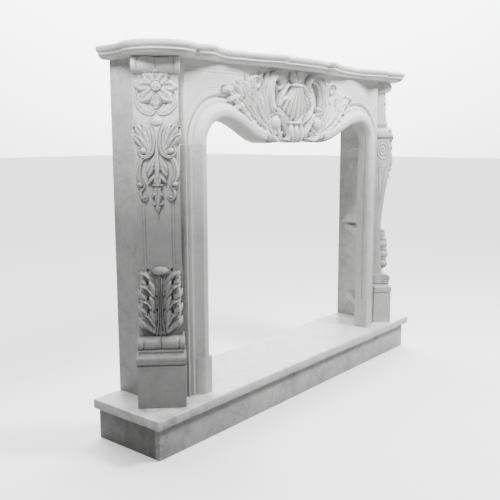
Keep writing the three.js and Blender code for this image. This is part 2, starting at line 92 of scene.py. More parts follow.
def fans(ring, hubs, first_hub):
    """Flat triangles over one end ring, each edge joined to the hub nearest to it in x."""
    last = len(ring) - 1
    middles = (ring[:-1, 0] + ring[1:, 0]) / 2
    chosen = np.argmin(np.abs(middles[:, None] - np.array(hubs)[None, :, 0]), axis=1) + first_hub
    triangles = [(i, i + 1, hub) for i, hub in enumerate(chosen)]
    triangles += [(i, chosen[i], chosen[i - 1]) for i in range(1, last) if chosen[i] != chosen[i - 1]]
    triangles += [(last, 0, first_hub)]
    triangles += [(last, first_hub + k, first_hub + k + 1) for k in range(len(hubs) - 1)]
    return np.array(triangles)


def ring_solid(name, rings, material, sharp=38.0, hubs=()):
    """A solid lofted through closed rings, with a flat face, or fans round hubs, over each end ring."""
    rings = np.asarray(rings, float)
    rows, cols = rings.shape[:2]
    index = np.arange(rows * cols).reshape(rows, cols)
    after = np.roll(index, -1, axis=1)
    quads = np.stack([index[:-1], after[:-1], after[1:], index[1:]], axis=-1).reshape(-1, 4)
    points = rings.reshape(-1, 3)
    ends = [index[0][::-1][None, :], index[-1][None, :]]
    if hubs:
        low = fans(rings[0], hubs, rows * cols)
        high = fans(rings[-1], hubs, cols + len(hubs))
        high += (rows - 1) * cols
        points = np.vstack([points, *[[x, y, ring[0, 2]] for ring in (rings[0], rings[-1]) for x, y in hubs]])
        ends = [low[:, ::-1], high]
    return mesh_object(name, points, [quads] + ends, material, sharp)

def rounded_plan(x0, y0, x1, y1, radius):
    """The outline of a rectangle with rounded corners, anticlockwise."""
    points = []
    for cx, cy, start in (
        (x1 - radius, y1 - radius, 0),
        (x0 + radius, y1 - radius, 90),
        (x0 + radius, y0 + radius, 180),
        (x1 - radius, y0 + radius, 270),
    ):
        for k in range(4):
            angle = math.radians(start + 30 * k)
            points.append((cx + radius * math.cos(angle), cy + radius * math.sin(angle)))
    return np.array(points)


def eased_block(name, low, high, ease, material):
    """A sawn and rubbed block: a box with its edges eased by a small rounding."""
    plan = rounded_plan(low[0], low[1], high[0], high[1], ease)
    centre = (np.array(low[:2]) + np.array(high[:2])) / 2
    half = (np.array(high[:2]) - np.array(low[:2])) / 2
    angles = [k / 3 * math.pi / 2 for k in range(4)]
    rings = [(ease * (1 - math.sin(a)), low[2] + ease * (1 - math.cos(a))) for a in angles]
    rings += [(ease * (1 - math.cos(a)), high[2] - ease * (1 - math.sin(a))) for a in angles]
    solid = []
    for inset, height in rings:
        flat = centre + (plan - centre) * (half - inset) / half
        solid.append(np.column_stack([flat, np.full(len(flat), height)]))
    return ring_solid(name, solid, material)


# The stone of every piece: white marble with soft grey clouds, thin broken veins, grey soiling and painted
# shade.
# One node group gives its colour, roughness and the height of its fine unevenness.
veined = bpy.data.node_groups.new("veined_marble", "ShaderNodeTree")
for label, kind, value in (
    ("Tone", "NodeSocketColor", (0.8, 0.8, 0.785, 1)),
    ("Cloud", "NodeSocketFloat", 0.12),
    ("Vein", "NodeSocketFloat", 0.2),
    ("Soil", "NodeSocketFloat", 0.1),
    ("Scale", "NodeSocketFloat", 1.0),
    ("Polish", "NodeSocketFloat", 0.3),
    ("Dust", "NodeSocketFloat", 0.5),
    ("Hollow", "NodeSocketFloat", 0.0),
    ("Smudge", "NodeSocketFloat", 0.0),
    ("Shade Patch Place", "NodeSocketVector", (0, 0, 0)),
    ("Shade Patch Size", "NodeSocketFloat", 0.1),
):
    veined.interface.new_socket(label, in_out="INPUT", socket_type=kind).default_value = value
for label, kind in (
    ("Colour", "NodeSocketColor"),
    ("Roughness", "NodeSocketFloat"),
    ("Height", "NodeSocketFloat"),
):
    veined.interface.new_socket(label, in_out="OUTPUT", socket_type=kind)
nodes, links = veined.nodes, veined.links


def give(socket, value):
    """Link a node's input to another node's output, or set it to a number."""
    if isinstance(value, bpy.types.NodeSocket):
        links.new(value, socket)
    else:
        socket.default_value = value


def noise(vector, scale, detail, roughness=0.5, distortion=0.0):
    """The value of a noise texture."""
    texture = nodes.new("ShaderNodeTexNoise")
    for label, value in (("Vector", vector), ("Scale", scale), ("Detail", detail), ("Roughness", roughness),
                         ("Distortion", distortion)):
        give(texture.inputs[label], value)
    return texture.outputs["Fac"]


def ramp(value, start, end, low=0.0, high=1.0):
    """A value carried from start and end to low and high, and held past both."""
    change = nodes.new("ShaderNodeMapRange")
    for label, setting in (("Value", value), ("From Min", start), ("From Max", end), ("To Min", low),
                           ("To Max", high)):
        give(change.inputs[label], setting)
    return change.outputs["Result"]


def arithmetic(operation, *values):
    """The result of a math node."""
    step = nodes.new("ShaderNodeMath")
    step.operation = operation
    for socket, value in zip(step.inputs, values):
        give(socket, value)
    return step.outputs[0]


given = nodes.new("NodeGroupInput")
out = nodes.new("NodeGroupOutput")
spot = nodes.new("ShaderNodeTexCoord").outputs["Object"]
spread = nodes.new("ShaderNodeVectorMath")
spread.operation = "SCALE"
give(spread.inputs[0], spot)
give(spread.inputs["Scale"], given.outputs["Scale"])
cloud = ramp(noise(spread.outputs["Vector"], 3.2, 6.0, 0.6, 0.7), 0.42, 0.68)
# a vein runs where its noise passes through the middle value
vein_noise = noise(spread.outputs["Vector"], 2.1, 9.0, 0.62, 1.6)
vein = ramp(arithmetic("ABSOLUTE", arithmetic("SUBTRACT", vein_noise, 0.5)), 0.0, 0.022, 1.0, 0.0)
grain = noise(spot, 90.0, 4.0)
soil = ramp(noise(spot, 13.0, 11.0, 0.78), 0.44, 0.68)
# painted shade that darkens each piece towards its foot and towards its left end, where less light falls
place = nodes.new("ShaderNodeSeparateXYZ")
give(place.inputs["Vector"], spot)
downward = ramp(place.outputs["Z"], 1.12, 0.68)
leftward = ramp(place.outputs["X"], 0.75, -0.75, 0.5, 1.0)
dust = arithmetic("MULTIPLY", downward, leftward)
# one round patch of painted shade, broken up by the soiling noise
from_shade_patch = nodes.new("ShaderNodeVectorMath")
from_shade_patch.operation = "DISTANCE"
give(from_shade_patch.inputs[0], spot)
give(from_shade_patch.inputs[1], given.outputs["Shade Patch Place"])
fade = ramp(from_shade_patch.outputs["Value"], 0.0, given.outputs["Shade Patch Size"], 1.3, 0.0)
shade_patch = arithmetic("MINIMUM", arithmetic("MULTIPLY", fade, soil), 1.0)
# painted shade in the hollows of the carving, where the surface is pinched inwards
hollow_shade = ramp(nodes.new("ShaderNodeNewGeometry").outputs["Pointiness"], 0.5, 0.44)
colour = given.outputs["Tone"]
for mask, amount, tint in (
    (cloud, "Cloud", (0.45, 0.46, 0.48, 1)),
    (vein, "Vein", (0.42, 0.43, 0.45, 1)),
    (soil, "Soil", (0.3, 0.3, 0.29, 1)),
    (dust, "Dust", (0.2, 0.2, 0.2, 1)),
    (shade_patch, "Smudge", (0.1, 0.1, 0.1, 1)),
    (hollow_shade, "Hollow", (0.2, 0.2, 0.2, 1)),
):
    mix = nodes.new("ShaderNodeMix")
    mix.data_type = "RGBA"
    mix.blend_type = "MULTIPLY"
    mix.inputs["B"].default_value = tint
    give(mix.inputs["Factor"], arithmetic("MULTIPLY", mask, given.outputs[amount]))
    give(mix.inputs["A"], colour)
    colour = mix.outputs["Result"]
give(out.inputs["Colour"], colour)
give(out.inputs["Roughness"], arithmetic("MULTIPLY_ADD", grain, 0.25, given.outputs["Polish"]))
give(out.inputs["Height"], grain)


def marble(name, tone, bump=0.03, shade_patch=None, **amounts):
    """A marble material of a tone, with its amounts of clouds, veins, soiling, painted shade and polish.

    A patch of painted shade has a strength, a place in metres in the part's frame and a size.
    """
    material = bpy.data.materials.new(name)
    material.use_nodes = True
    tree = material.node_tree
    shader = tree.nodes["Principled BSDF"]
    effect = tree.nodes.new("ShaderNodeGroup")
    effect.node_tree = veined
    effect.inputs["Tone"].default_value = (*tone, 1)
    for label, amount in amounts.items():
        effect.inputs[label.capitalize()].default_value = amount
    if shade_patch:
        for label, value in zip(("Smudge", "Shade Patch Place", "Shade Patch Size"), shade_patch):
            effect.inputs[label].default_value = value
    relief = tree.nodes.new("ShaderNodeBump")
    relief.inputs["Strength"].default_value = bump
    relief.inputs["Distance"].default_value = 0.002
    tree.links.new(effect.outputs["Colour"], shader.inputs["Base Color"])
    tree.links.new(effect.outputs["Roughness"], shader.inputs["Roughness"])
    tree.links.new(effect.outputs["Height"], relief.inputs["Height"])
    tree.links.new(relief.outputs["Normal"], shader.inputs["Normal"])
    shader.inputs["IOR"].default_value = 1.5
    return material


# the front board's patch of painted shade darkens its left end near the floor
riser_marble = marble("riser_marble", (0.78, 0.78, 0.77), cloud=0.45, vein=0.4, soil=0.5, scale=1.6,
                      polish=0.4, dust=0.5, shade_patch=(0.7, (-0.79, -0.12, 0.05), 0.09))
# the end boards have a darker copy of the front board's marble, painted shade for their ends
shaded_end_marble = marble("shaded_end_riser_marble", (0.42, 0.42, 0.41), cloud=0.4, vein=0.4, soil=0.5, scale=1.6,
                    polish=0.45, dust=0.85)
riser_back = riser_face + riser_board
board_top = riser_height - joint
riser_front = eased_block("riser_front_board", (-riser_half, riser_face, 0),
                          (riser_half, riser_back, board_top), riser_ease, riser_marble)
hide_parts("hearth_riser_front")
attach(riser_front, "root")
for side, name in ((-1, "left"), (1, "right")):
    near, far = sorted((side * riser_half, side * (riser_half - riser_board)))
    end = eased_block(f"riser_{name}_board", (near, riser_back + joint, 0), (far, wall, board_top),
                      riser_ease, shaded_end_marble)
    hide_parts(f"{name}_hearth_riser")
    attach(end, "root")

# Hearth slab. One 30 mm marble slab bedded on the risers, flush with them at the wall, with an
# eased upper arris along the front and both ends.
slab_half, slab_thick = 800, 30
slab_corner = 3
slab_top = riser_height + slab_thick


def offset_rings(plan, profile, bottom):
    """Mitred offsets of a plan that runs from the wall round to the wall, one ring per profile point."""
    plan = np.asarray(plan, float)
    step = np.diff(plan, axis=0)
    step /= np.linalg.norm(step, axis=1, keepdims=True)
    normal = np.stack([step[:, 1], -step[:, 0]], axis=1)
    inner = (normal[:-1] + normal[1:]) / (1 + np.sum(normal[:-1] * normal[1:], axis=1, keepdims=True))
    normals = np.vstack([[-1.0, 0.0], inner, [1.0, 0.0]])
    rings = []
    for out, height in profile:
        flat = plan + normals * out
        rings.append(np.column_stack([flat, np.full(len(flat), bottom + height)]))
    return rings


# the slab's patch of painted shade darkens its top at the left end, beside the leg
slab_marble = marble("slab_marble", (0.84, 0.84, 0.83), cloud=0.14, vein=0.2, soil=0.25, scale=1.3,
                     polish=0.36, dust=0.4, shade_patch=(0.75, (-0.72, -0.1, 0.137), 0.24))
slab_plan = [(-slab_half, wall), (-slab_half, slab_corner)]
slab_plan += [(slab_corner * (1 - math.sin(a)) - slab_half, slab_corner * (1 - math.cos(a)))
              for a in (1.05, 0.52, 0)]
slab_plan += [(-x, y) for x, y in reversed(slab_plan)]
slab_profile = [(-2, 0), (-0.6, 0.6), (0, 2), (0, 25.5), (-0.5, 27.6), (-1.6, 29.0), (-3.4, 29.8),
                (-5, slab_thick)]
slab = ring_solid("hearth_top_slab", offset_rings(slab_plan, slab_profile, riser_height), slab_marble)
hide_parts("hearth_slab")
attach(slab, "root")

# Side panels. Plain 30 mm marble returns from the legs back to the wall, their front ends mitred
# to seat against the back of the canted legs.
leg_x, leg_y, leg_depth = 713.5, 71.3, 107
shelf_bottom = 1207
panel_outer, panel_inner = 690, 660
panel_ease = 0.8
mitre = leg_y - leg_x + (leg_depth + joint) * math.sqrt(2)


def prism(name, outline, place, low, high, ease, material):
    """A board cut to an outline: place(a, b, c) sets a point of the outline at depth c."""
    outline = np.asarray(outline, float)
    centre = outline.mean(axis=0)
    spread = np.abs(outline - centre).max(axis=0)
    rings = []
    for inset, depth in ((ease, low), (0.3 * ease, low + 0.3 * ease), (0, low + ease),
                         (0, high - ease), (0.3 * ease, high - 0.3 * ease), (ease, high)):
        flat = centre + (outline - centre) * (spread - inset) / spread
        rings.append([place(a, b, depth) for a, b in flat])
    return ring_solid(name, rings, material)


# the panels' patch of painted shade darkens the left return at its front end, in the corner against the leg
panel_marble = marble("panel_marble", (0.84, 0.84, 0.83), cloud=0.25, vein=0.3, soil=0.4, scale=1.2,
                      polish=0.36, dust=0.85, shade_patch=(0.9, (-0.69, 0.04, 0.53), 0.05))
panel_plan = [(panel_outer, mitre + panel_outer), (panel_outer, wall), (panel_inner, wall),
              (panel_inner, mitre + panel_inner)]
for side, name in ((-1, "left"), (1, "right")):
    panel = prism(f"side_return_{name}", panel_plan, lambda a, b, c, s=side: (s * a, b, c),
                  slab_top + joint, shelf_bottom - joint, panel_ease, panel_marble)
    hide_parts(f"{name}_side_panel")
    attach(panel, "root")

# Leg plinths. Square-faced marble blocks at 45 degrees on the hearth corners, the back corner
# notched to sit round the end of the jamb.
plinth_half, plinth_top = 75, 272
plinth_ease = 1.6
notch_x, notch_y = 604.0, 71.7
turn = math.sqrt(0.5)
# the carved legs and plinths get painted shade in their hollows and towards their foot and left end
carved = marble("carved_marble", (0.83, 0.83, 0.82), 0.05, cloud=0.12, vein=0.15, soil=0.3, scale=1.1,
                polish=0.4, dust=0.9, hollow=0.6)


def canted(along, back):
    """A place along the right leg's face from its middle, and back from it, as the drawing's X and Y."""
    return leg_x - (along + back) * turn, leg_y + (back - along) * turn


notch_across, notch_along = (leg_x - notch_x) / turn, (notch_y - leg_y) / turn
plinth_plan = [
    (-plinth_half, leg_depth),
    (-plinth_half, 0),
    (plinth_half, 0),
    (plinth_half, notch_along + plinth_half),
    ((notch_across - notch_along) / 2, (notch_across + notch_along) / 2),
    (notch_across - leg_depth, leg_depth),
]
for side, name in ((-1, "left"), (1, "right")):
    outline = [(side * x, y) for x, y in (canted(along, back) for along, back in plinth_plan)]
    plinth = prism(f"plinth_block_{name}", outline, lambda a, b, c: (a, b, c), slab_top + joint,
                   plinth_top - joint, plinth_ease, carved)
    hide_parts(f"{name}_leg_plinth")
    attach(plinth, "root")

# Console legs. Each is one carved block: base torus, foot scroll, hollow shaft, knee, and a cross
# roll under the shelf, with an acanthus leaf, cabochon, husk drop, scrolled leaves and a rosette.
leg_bottom, leg_top = 135.3, 1069.7
# a station is a height over the slab, how far the face stands out there from the plinth's face, and
# half the leg's width
stations = np.array([
    [leg_bottom, -4, 73.5], [137.5, -1.5, 75.5], [141, 0.6, 76.5], [148, 1.8, 77], [158, 1.7, 77],
    [164, -1.5, 75.5], [168, -7, 73], [172, -10.5, 71], [184, -12.5, 70], [192, -38, 68.5], [225, -42, 68],
    [290, -49, 69], [355, -53, 69.5], [420, -54, 69], [480, -50, 67], [545, -43, 66.5], [608, -33.5, 66],
    [665, -25, 65.5], [725, -18, 65], [775, -17.5, 65.5], [820, -22.5, 66.5], [831.5, -24, 66.8],
    [832.5, -24.3, 69.5], [837, -25, 72], [849, -27, 73.2], [861, -29.5, 72], [865.5, -30.2, 69.5],
    [866.5, -30.4, 66.8], [890, -36, 66.6], [925, -46.5, 66.5], [960, -53, 66.4], [1005, -54, 66.4],
    [1022, -49, 66.4], [leg_top, -49, 66.4],
])
torus_top = 182
foot_roll, foot_roll_z, foot_roll_radius, foot_roll_half = -29, 200, 22.0, 72.5
top_roll, top_roll_z, top_roll_radius, top_roll_half = -46.5, 1045, 24.0, 70.6
knee, knee_z, knee_across, knee_high = -52, 776, 30, 43


def spline(knots, count=28):
    """A smooth curve through the knots, sampled evenly in the knot number."""
    knots = np.asarray(knots, float)
    padded = np.vstack([2 * knots[0] - knots[1], knots, 2 * knots[-1] - knots[-2]])
    t = np.linspace(0, len(knots) - 1, count)
    k = np.minimum(t.astype(int), len(knots) - 2)
    f = (t - k)[:, None]
    p0, p1, p2, p3 = padded[k], padded[k + 1], padded[k + 2], padded[k + 3]
    return 0.5 * (2 * p1 + (p2 - p0) * f + (2 * p0 - 5 * p1 + 4 * p2 - p3) * f**2
                  + (3 * p1 - p0 - 3 * p2 + p3) * f**3)


class Relief:
    """Carving on a ground: heights in millimetres over a grid of (across, up) places."""

    def __init__(self, across, up):
        self.across = across
        self.up = up
        self.height = np.zeros_like(across)

    def nearest(self, line, reach):
        """The grid points near a line, and where each lies beside and along it."""
        low, high = line[:, :2].min(axis=0) - reach, line[:, :2].max(axis=0) + reach
        near = (self.across > low[0]) & (self.across < high[0]) & (self.up > low[1]) & (self.up < high[1])
        points = np.stack([self.across[near], self.up[near]], axis=1)
        start, step = line[:-1, :2], np.diff(line[:, :2], axis=0)
        length = np.maximum(np.linalg.norm(step, axis=1), 1e-6)
        offset = points[:, None, :] - start[None]
        t = np.clip(np.sum(offset * step[None], axis=2) / length**2, 0, 1)
        away = offset - t[..., None] * step[None]
        distance = np.linalg.norm(away, axis=2)
        k = np.argmin(distance, axis=1)
        rows = np.arange(len(points))
        t, distance, away = t[rows, k], distance[rows, k], away[rows, k]
        side = np.sign(step[k, 0] * away[:, 1] - step[k, 1] * away[:, 0]) * distance
        size = line[k, 2:] * (1 - t)[:, None] + line[k + 1, 2:] * t[:, None]
        run = np.concatenate([[0], np.cumsum(length)])
        along = (run[k] + t * length[k]) / run[-1]
        return near, side, along, size

    def stroke(self, line, groove, cut):
        """The grid points of a stroke, x across it from -1 to 1, and the ground cut in round it."""
        near, side, along, size = self.nearest(line, line[:, 2].max() * 1.6 + 4)
        x = side / np.maximum(size[:, 0], 0.5)
        rim = np.clip((np.abs(x) - 1) * size[:, 0] / groove, 0, 1)
        beside = (np.abs(x) >= 1) & (rim < 1)
        ground = self.height[near]
        ground = np.where(beside, ground * (cut + (1 - cut) * rim), ground)
        return near, x, along, size[:, 1], ground

    def leaf(self, knots, flutes=1, gouge=0.25, groove=1.3, cut=0.55):
        """A leaf or petal with rounded shoulders and gouged flutes, its outline cut in round it."""
        near, x, along, high, ground = self.stroke(spline(knots), groove, cut)
        value = high * np.clip(1 - np.abs(x) ** 2.6, 0, 1) ** 0.5
        if flutes:
            wave = 0.5 - 0.5 * np.cos(2 * math.pi * flutes * (x + 1) / 2)
            depth = gouge * np.clip(np.sin(math.pi * np.clip(along, 0, 1)) * 1.6, 0, 1)
            value = value * (1 - depth * (1 - wave))
        self.height[near] = np.where(np.abs(x) < 1, np.maximum(ground, value), ground)

    def band(self, knots, lines=1, gouge=0.3, groove=1.6, cut=0.4):
        """A scroll band: a rounded ribbon with lines gouged along it."""
        near, x, _, high, ground = self.stroke(spline(knots, 40), groove, cut)
        shape = np.clip(1 - np.abs(x) ** 3, 0, 1) ** 0.5
        if lines:
            wave = 0.5 + 0.5 * np.cos(math.pi * (lines + 1) * x)
            shape = shape * (1 - gouge * wave * (np.abs(x) < 0.8))
        self.height[near] = np.where(np.abs(x) < 1, np.maximum(ground, high * shape), ground)

    def dome(self, across, up, half_across, half_up, height, base=0.0, square=2.0, groove=1.6, cut=0.35):
        """A cabochon or bead standing on the ground, with a fine line cut round it."""
        r = np.sqrt(((self.across - across) / half_across) ** 2 + ((self.up - up) / half_up) ** 2)
        ring = np.clip((r - 1) * min(half_across, half_up) / groove, 0, 1)
        self.height = np.where((r >= 1) & (ring < 1), self.height * (cut + (1 - cut) * ring), self.height)
        value = base + (height - base) * np.clip(1 - r**square, 0, 1) ** 0.5
        self.height = np.where(r < 1, np.maximum(self.height, value), self.height)

    def incise(self, knots, depth, count=40):
        """A V-cut line."""
        half = 1.6
        near, side, _, _ = self.nearest(spline(np.asarray(knots, float)[:, :2], count), 5)
        self.height[near] -= depth * np.clip(1 - np.abs(side) / half, 0, 1)

    def hollow(self, across, up, half_across, half_up, depth):
        """A bowl scooped out of the carving."""
        r2 = ((self.across - across) / half_across) ** 2 + ((self.up - up) / half_up) ** 2
        self.height -= depth * np.clip(1 - r2, 0, 1)


def smooth(z, column):
    """The leg's profile between its stations, as a smooth curve."""
    x, y = stations[:, 0], stations[:, column]
    slope = np.gradient(y, x)
    slope[1:-1] = np.where(np.diff(y)[:-1] * np.diff(y)[1:] <= 0, 0, slope[1:-1])
    k = np.clip(np.searchsorted(x, z) - 1, 0, len(x) - 2)
    h = x[k + 1] - x[k]
    t = np.clip((z - x[k]) / h, 0, 1)
    return ((2 * t**3 - 3 * t**2 + 1) * y[k] + (t**3 - 2 * t**2 + t) * h * slope[k]
            + (3 * t**2 - 2 * t**3) * y[k + 1] + (t**3 - t**2) * h * slope[k + 1])


rows = np.concatenate([
    np.linspace(leg_bottom, 228, 90),
    np.linspace(229.5, 442, 150),
    np.linspace(444, 596, 50),
    np.linspace(598, 1018, 270),
    np.linspace(1019.5, leg_top, 40),
])
columns = 91
ground = smooth(rows, 1)
half_width = smooth(rows, 2)
on_foot_roll = np.abs(rows - foot_roll_z) < foot_roll_radius
foot_arc = np.sqrt(np.clip(foot_roll_radius**2 - (rows - foot_roll_z) ** 2, 0, None))
ground = np.where(on_foot_roll, np.maximum(foot_roll + foot_arc, ground), ground)
half_width = np.where(on_foot_roll & (rows > torus_top), foot_roll_half, half_width)
on_top_roll = rows > top_roll_z - top_roll_radius
top_arc = np.sqrt(np.clip(top_roll_radius**2 - (rows - top_roll_z) ** 2, 0, None))
ground = np.where(on_top_roll, top_roll + top_arc, ground)
half_width = np.where(on_top_roll, top_roll_half, half_width)
leg_across = np.linspace(-1, 1, columns)[None, :] * half_width[:, None]
leg_up = np.repeat(rows[:, None], columns, axis=1)
leg = Relief(leg_across, leg_up)


def both(shape, knots, **options):
    """The same stroke on the left and right of the leg's centre line."""
    for s in (-1, 1):
        shape([(s * u, v, *rest) for u, v, *rest in knots], **options)


# acanthus leaf rising from the foot scroll: four tiers of broad cupped lobes with curled tips
for foot_z, tip_z, tip_t, lift in (
    (350, 420, 54, 27),
    (310, 382, 60, 36),
    (268, 336, 60, 38),
    (228, 294, 60, 32),
):
    rise = tip_z - foot_z
    both(leg.leaf, [(10, foot_z + 4, 10, lift * 0.3), (26, foot_z + rise * 0.3, 19, lift * 0.55),
                    (40, foot_z + rise * 0.64, 22, lift * 0.86), (50, foot_z + rise * 0.88, 16, lift),
                    (57, foot_z + rise * 1.0, 7, lift * 0.86)], flutes=2, gouge=0.34, cut=0.72)
    both(leg.leaf, [(34, foot_z + rise * 0.3, 10, lift * 0.5), (49, foot_z + rise * 0.46, 13, lift * 0.86),
                    (tip_t, foot_z + rise * 0.66, 10, lift * 0.98),
                    (tip_t + 6, foot_z + rise * 0.78, 4, lift * 0.7)], flutes=0, cut=0.6)
    if foot_z < 350:
        both(leg.leaf, [(22, foot_z + rise * 0.5, 9, lift * 0.45), (26, foot_z + rise * 0.86, 12, lift * 0.7),
                        (31, foot_z + rise * 1.1, 9, lift * 0.8), (32, foot_z + rise * 1.22, 4, lift * 0.6)],
             flutes=0, cut=0.6)
    for s in (-1, 1):
        leg.hollow(s * 37, foot_z + rise * 1.08, 4.5, 8, lift * 0.32)
leg.leaf([(0, 238, 16, 10), (0, 250, 13, 15), (0, 290, 8, 17), (0, 350, 7, 15), (0, 408, 5, 10)], flutes=0)
for u in (-5.5, 0, 5.5):
    leg.band([(u * 2.4, 226, 3.2, 14), (u * 1.5, 256, 2.8, 18), (u, 300, 2.6, 20), (u * 0.8, 350, 2.3, 18),
              (u * 0.6, 408, 1.8, 12)], lines=0)
leg.dome(0, 425, 27, 16, 19, base=4, square=1.7)

# incised lines down the shaft
both(leg.incise, [(48, 652), (48, 560), (48, 440), (47, 432)], depth=2.0)
both(leg.incise, [(40, 644), (40, 560), (40, 440), (41, 432)], depth=2.0)

# husk drop
both(leg.leaf, [(4, 640, 4, 8), (10, 634, 4, 11), (15, 638, 2, 8)], flutes=0)
leg.leaf([(0, 634, 6, 9), (0, 622, 9, 10), (0, 606, 1.5, 5)], flutes=1, gouge=0.1)
both(leg.leaf, [(3, 672, 5, 9), (11, 664, 5, 13), (15, 656, 3, 10)], flutes=0)
leg.leaf([(0, 690, 12.5, 11), (0, 672, 12, 13), (0, 655, 11, 13), (0, 634, 6, 11)], flutes=2, gouge=0.2)
both(leg.leaf, [(5, 720, 7, 12), (17, 710, 8, 15), (24, 700, 4, 12), (26, 695, 2, 8)], flutes=1)
leg.leaf([(0, 722, 10, 14), (0, 708, 13, 16), (0, 697, 12, 14)], flutes=3, gouge=0.2)
leg.dome(0, 692.5, 16.5, 4.0, 15, base=6)
both(leg.leaf, [(6, 776, 5, 8), (17, 754, 11, 14), (24, 734, 10, 15), (27, 719, 3, 11)], flutes=2)
both(leg.leaf, [(14, 742, 6, 13), (22, 728, 7, 15), (26, 716, 2, 10)], flutes=1)
leg.leaf([(0, 872, 14, 4), (0, 846, 7, 7), (0, 812, 5.5, 9), (0, 780, 7, 13), (0, 745, 9, 15),
          (0, 716, 6, 14)], flutes=1, gouge=0.12)

# paired scrolls and small curls beside the husk
both(leg.band, [(34, 777, 6, 8), (46, 768, 7.5, 11), (54, 746, 8.5, 13), (55, 722, 8.5, 13), (48, 702, 7, 12),
                (40, 691, 5, 11), (44, 683, 4, 10), (54, 686, 4, 10), (58, 696, 4, 9)], lines=1, gouge=0.3)
both(leg.band, [(44, 682, 3.5, 6), (50, 672, 4, 9), (49, 658, 4, 10), (41, 648, 4, 9), (33, 650, 3.5, 9),
                (31, 658, 3, 8)], lines=0)

# scrolled leaves spreading under the small cabochon
both(leg.leaf, [(26, 790, 12, 9), (40, 812, 15, 14), (56, 830, 13, 20), (68, 838, 8, 19), (76, 834, 3, 14)],
     flutes=2, gouge=0.34, cut=0.6)
both(leg.leaf, [(24, 798, 12, 9), (36, 832, 16, 14), (52, 856, 13, 19), (62, 868, 8, 17), (68, 866, 3, 12)],
     flutes=2, gouge=0.34, cut=0.6)
both(leg.leaf, [(20, 806, 10, 9), (25, 840, 13, 13), (32, 862, 10, 15), (40, 872, 4, 10)],
     flutes=2, gouge=0.3, cut=0.6)
both(leg.band, [(25, 872, 4, 7), (15, 856, 4.2, 11), (9, 832, 4.4, 13), (9, 806, 4.6, 14), (16, 786, 5, 14),
                (32, 776, 5.5, 14), (46, 780, 5, 13), (53, 792, 4.5, 13), (50, 804, 4.2, 12),
                (42, 808, 3.5, 11)], lines=1, gouge=0.25)
for s in (-1, 1):
    leg.dome(s * 41, 795, 10.5, 10.5, 17, base=5)
    leg.dome(s * 51, 695, 8.5, 8.5, 15, base=4)
    leg.dome(s * 39, 657, 6.5, 6.5, 12, base=3)
leg.dome(0, 882, 18, 16, 14, base=3)

# rosette over two ribbon loops, its lower petals longer than the upper ones
rosette_z = 983
both(leg.band, [(50, 985, 3, 4), (60, 955, 3.5, 6), (55, 925, 4, 7), (36, 906, 4, 7), (14, 902, 4, 7),
                (3, 912, 3, 6)], lines=0)
both(leg.leaf, [(48, 938, 10, 5), (32, 918, 11, 6), (14, 910, 6, 6)], flutes=1)
for k in (0, 2, 4, 6, 1, 3, 7, 5):
    angle = k * math.pi / 4
    reach = 54 - (15 if math.sin(angle) > 0 else -3) * abs(math.sin(angle))
    lift = 3.0 * (k % 2)
    petal = []
    for r, w, h in ((8, 7, 20), (0.4 * reach, 15, 20), (0.68 * reach, 21, 20), (0.88 * reach, 19, 17),
                    (reach, 10, 11)):
        petal.append((math.cos(angle) * r, rosette_z + math.sin(angle) * r, w, h + lift))
    leg.leaf(petal, flutes=2, gouge=0.34, cut=0.6)
leg.dome(0, rosette_z, 15.5, 15.5, 31, base=19)
for k in range(4):
    angle = math.pi / 4 + k * math.pi / 2
    leg.hollow(7.5 * math.cos(angle), rosette_z + 7.5 * math.sin(angle), 5, 5, 3.5)

# both rolls are waisted like bolsters, with a groove at the waist and a collar at each end
waist_depth, waist_width = 4.5, 16
groove_depth, groove_width = 2.5, 2.2
neck_depth, neck_width, neck_place = 3.5, 3.2, 54
collar_lift, collar_start = 1.5, 58
from_centre = np.abs(leg_across)
cut = waist_depth * np.exp(-((from_centre / waist_width) ** 2))
cut += groove_depth * np.exp(-((from_centre / groove_width) ** 2))
cut += neck_depth * np.exp(-(((from_centre - neck_place) / neck_width) ** 2))
cut -= collar_lift * (from_centre > collar_start)
rolls = (on_top_roll | (on_foot_roll & (rows > torus_top + 2)))[:, None]
leg.height = leg.height - np.where(rolls, cut, 0)

# the acanthus is lower where it reaches the edges of the leg
acanthus_bottom, acanthus_top = 226, 442
edge_start, edge_width = 57, 11
beyond = np.clip((from_centre - edge_start) / edge_width, 0, 1)
leg.height *= 1 - 0.5 * beyond**2 * ((leg_up > acanthus_bottom) & (leg_up < acanthus_top))
front = ground[:, None] + leg.height
side_steps = np.concatenate([[0.0], np.linspace(0.012, 0.72, 34), [0.8, 0.9, 1.0]])


def side_relief(z, depth):
    """The carving of the leg's sides at a height: volutes on the rolls and knee, and cut lines."""
    windings, eye, rib_height, sunk = 2.6, 0.1, 3.0, 1.2
    raised = np.zeros_like(depth)
    for volute, volute_z, across, high in (
        (top_roll, top_roll_z, top_roll_radius, top_roll_radius),
        (knee, knee_z, knee_across, knee_high),
        (foot_roll, foot_roll_z, foot_roll_radius, foot_roll_radius),
    ):
        r = np.hypot((-depth - volute) / across, (z - volute_z) / high)
        turns = np.arctan2((z - volute_z) / high, (-depth - volute) / across) / (2 * math.pi)
        rib = np.clip(1 - np.abs((r * windings - turns) % 1.0 - 0.5) * 2.4, 0, 1)
        raised += np.where((r < 1) & (r > eye), rib_height * rib - sunk, 0)
    # two lines run down from a cross cut under the knee and close in on each other
    cross_z, cross_width, cross_depth = 700, 2.5, 2.0
    line_length, line_half, line_depth = 160, 2.2, 2.2
    front_line, back_line = 43, 72
    down = (cross_z - z) / line_length
    if 0 < down < 1:
        for line in (back_line - 8 * down, front_line + 18 * down):
            raised -= line_depth * np.clip(1 - np.abs(depth - line) / line_half, 0, 1)
    elif 0 <= z - cross_z < cross_width:
        raised -= cross_depth * ((depth > front_line) & (depth < back_line))
    return raised


